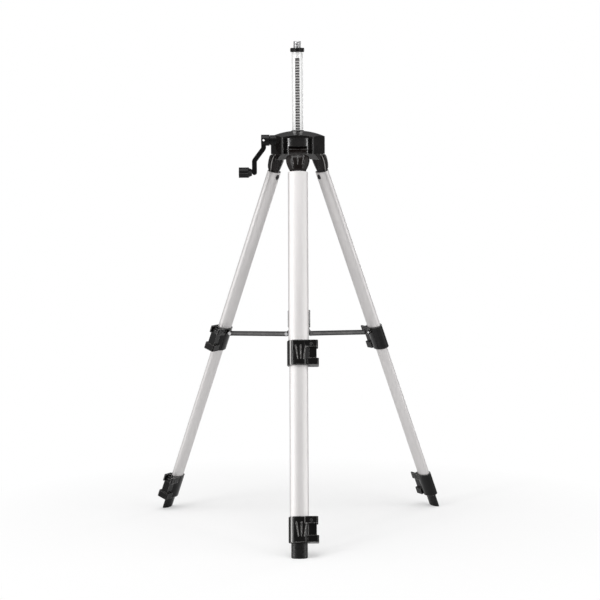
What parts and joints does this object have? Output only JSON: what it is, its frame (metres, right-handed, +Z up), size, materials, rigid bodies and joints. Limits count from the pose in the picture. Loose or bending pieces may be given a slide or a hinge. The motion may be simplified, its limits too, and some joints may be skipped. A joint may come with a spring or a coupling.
{
  "type": "laser level tripod",
  "caption": "Tripod for a laser level: telescoping oval legs with flip-lever locks, a folding spreader, and a geared centre column cranked up under a threaded instrument stud.",
  "frame": {"origin": "on the centre column's axis at the top of the platform, where the instrument stud starts", "axes": "+Z up along the column and stud, -Y towards the front leg, +X to the right seen from the front"},
  "size_m": [0.5909, 0.526, 0.9698],
  "materials": {
    "head_plastic": "semi-gloss moulded black",
    "black_plastic": "satin moulded black",
    "leg_aluminium": "satin anodised silver",
    "column_chrome": "bright plated",
    "brace_metal": "dark grey paint",
    "foot_rubber": "matte",
    "pin_steel": "bright steel"
  },
  "bodies": {
    "head": {"head": "head_plastic", "column_bush": "black_plastic", "crank_bush": "head_plastic", "leg_hinge_pins": "pin_steel"},
    "column": {"column_tube": "column_chrome", "column_rack": "black_plastic", "platform": "head_plastic", "instrument_stud": "pin_steel", "column_stop": "head_plastic"},
    "crank": {"pinion_shaft": "pin_steel", "crank_arm": "head_plastic", "grip_axle": "pin_steel"},
    "grip": {"crank_grip": "head_plastic"},
    "hub": {"spreader_hub": "head_plastic"},
    "front_leg": {"front_leg_cap": "black_plastic", "front_upper_tube": "leg_aluminium", "front_upper_lock": "black_plastic", "front_upper_pins": "pin_steel"},
    "front_middle": {"front_middle_tube": "leg_aluminium", "front_middle_glide": "black_plastic", "front_lower_lock": "black_plastic", "front_lower_lever_pin": "pin_steel"},
    "front_lower": {"front_lower_tube": "leg_aluminium", "front_lower_glide": "black_plastic", "front_foot": "foot_rubber"},
    "front_upper_flip": {"front_upper_lever": "black_plastic"},
    "front_lower_flip": {"front_lower_lever": "black_plastic"},
    "front_spreader": {"front_brace": "brace_metal", "front_brace_rivet": "pin_steel"},
    "right_leg": {"right_leg_cap": "black_plastic", "right_upper_tube": "leg_aluminium", "right_upper_lock": "black_plastic", "right_upper_pins": "pin_steel"},
    "right_middle": {"right_middle_tube": "leg_aluminium", "right_middle_glide": "black_plastic", "right_lower_lock": "black_plastic", "right_lower_lever_pin": "pin_steel"},
    "right_lower": {"right_lower_tube": "leg_aluminium", "right_lower_glide": "black_plastic", "right_foot": "foot_rubber"},
    "right_upper_flip": {"right_upper_lever": "black_plastic"},
    "right_lower_flip": {"right_lower_lever": "black_plastic"},
    "right_spreader": {"right_brace": "brace_metal", "right_brace_rivet": "pin_steel"},
    "left_leg": {"left_leg_cap": "black_plastic", "left_upper_tube": "leg_aluminium", "left_upper_lock": "black_plastic", "left_upper_pins": "pin_steel"},
    "left_middle": {"left_middle_tube": "leg_aluminium", "left_middle_glide": "black_plastic", "left_lower_lock": "black_plastic", "left_lower_lever_pin": "pin_steel"},
    "left_lower": {"left_lower_tube": "leg_aluminium", "left_lower_glide": "black_plastic", "left_foot": "foot_rubber"},
    "left_upper_flip": {"left_upper_lever": "black_plastic"},
    "left_lower_flip": {"left_lower_lever": "black_plastic"},
    "left_spreader": {"left_brace": "brace_metal", "left_brace_rivet": "pin_steel"}
  },
  "joints": [
    {"name": "column_lift", "type": "slide", "parent": "head", "child": "column", "axis": [0, 0, 1], "range_m": [-0.15, 0]},
    {"name": "crank_turn", "type": "hinge", "parent": "head", "child": "crank", "pos_m": [0, -0.0164, -0.182], "axis": [1, 0, 0], "range_deg": [-1103.94, 0]},
    {"name": "grip_spin", "type": "hinge", "parent": "crank", "child": "grip", "pos_m": [0, -0.0164, -0.246], "axis": [1, 0, 0], "continuous": true},
    {"name": "front_leg_fold", "type": "hinge", "parent": "head", "child": "front_leg", "pos_m": [0, -0.03, -0.203], "axis": [1, 0, 0], "range_deg": [0, 20]},
    {"name": "front_middle_slide", "type": "slide", "parent": "front_leg", "child": "front_middle", "axis": [0, -0.3556, -0.9346], "range_m": [-0.2875, 0]},
    {"name": "front_lower_slide", "type": "slide", "parent": "front_middle", "child": "front_lower", "axis": [0, -0.3556, -0.9346], "range_m": [0, 0.27]},
    {"name": "front_upper_lever_flip", "type": "hinge", "parent": "front_leg", "child": "front_upper_flip", "pos_m": [0.0243, -0.17951, -0.57206], "axis": [0, -0.9346, 0.3556], "range_deg": [0, 95]},
    {"name": "front_lower_lever_flip", "type": "hinge", "parent": "front_middle", "child": "front_lower_flip", "pos_m": [0.0225, -0.30084, -0.89096], "axis": [0, -0.9346, 0.3556], "range_deg": [0, 95]},
    {"name": "front_brace_swing", "type": "hinge", "parent": "front_leg", "child": "front_spreader", "pos_m": [0, -0.16205, -0.57848], "axis": [1, 0, 0], "range_deg": [0, 67.83]},
    {"name": "right_leg_fold", "type": "hinge", "parent": "head", "child": "right_leg", "pos_m": [0.02598, 0.015, -0.203], "axis": [-0.5, 0.866, 0], "range_deg": [0, 20]},
    {"name": "right_middle_slide", "type": "slide", "parent": "right_leg", "child": "right_middle", "axis": [0.308, 0.1778, -0.9346], "range_m": [-0.2875, 0]},
    {"name": "right_lower_slide", "type": "slide", "parent": "right_middle", "child": "right_lower", "axis": [0.308, 0.1778, -0.9346], "range_m": [0, 0.27]},
    {"name": "right_upper_lever_flip", "type": "hinge", "parent": "right_leg", "child": "right_upper_flip", "pos_m": [0.14331, 0.1108, -0.57206], "axis": [0.8094, 0.4673, 0.3556], "range_deg": [0, 95]},
    {"name": "right_lower_lever_flip", "type": "hinge", "parent": "right_middle", "child": "right_lower_flip", "pos_m": [0.24928, 0.1699, -0.89096], "axis": [0.8094, 0.4673, 0.3556], "range_deg": [0, 95]},
    {"name": "right_brace_swing", "type": "hinge", "parent": "right_leg", "child": "right_spreader", "pos_m": [0.14034, 0.08103, -0.57848], "axis": [-0.5, 0.866, 0], "range_deg": [0, 67.83]},
    {"name": "left_leg_fold", "type": "hinge", "parent": "head", "child": "left_leg", "pos_m": [-0.02598, 0.015, -0.203], "axis": [-0.5, -0.866, 0], "range_deg": [0, 20]},
    {"name": "left_middle_slide", "type": "slide", "parent": "left_leg", "child": "left_middle", "axis": [-0.308, 0.1778, -0.9346], "range_m": [-0.2875, 0]},
    {"name": "left_lower_slide", "type": "slide", "parent": "left_middle", "child": "left_lower", "axis": [-0.308, 0.1778, -0.9346], "range_m": [0, 0.27]},
    {"name": "left_upper_lever_flip", "type": "hinge", "parent": "left_leg", "child": "left_upper_flip", "pos_m": [-0.16761, 0.06871, -0.57206], "axis": [-0.8094, 0.4673, 0.3556], "range_deg": [0, 95]},
    {"name": "left_lower_lever_flip", "type": "hinge", "parent": "left_middle", "child": "left_lower_flip", "pos_m": [-0.27178, 0.13093, -0.89096], "axis": [-0.8094, 0.4673, 0.3556], "range_deg": [0, 95]},
    {"name": "left_brace_swing", "type": "hinge", "parent": "left_leg", "child": "left_spreader", "pos_m": [-0.14034, 0.08103, -0.57848], "axis": [-0.5, -0.866, 0], "range_deg": [0, 67.83]},
    {"name": "hub_lift", "type": "slide", "parent": "head", "child": "hub", "axis": [0, 0, 1], "range_m": [0, 0.10718]}
  ],
  "couplings": [
    {"joint": "crank_turn", "follows": "column_lift", "rad_per_m": 128.33},
    {"joint": "front_brace_swing", "follows": "front_leg_fold", "ratio": 3.3909},
    {"joint": "right_leg_fold", "follows": "front_leg_fold", "ratio": 1},
    {"joint": "right_brace_swing", "follows": "front_leg_fold", "ratio": 3.3909},
    {"joint": "left_leg_fold", "follows": "front_leg_fold", "ratio": 1},
    {"joint": "left_brace_swing", "follows": "front_leg_fold", "ratio": 3.3909},
    {"joint": "hub_lift", "follows": "front_leg_fold", "m_per_rad": 0.307}
  ]
}
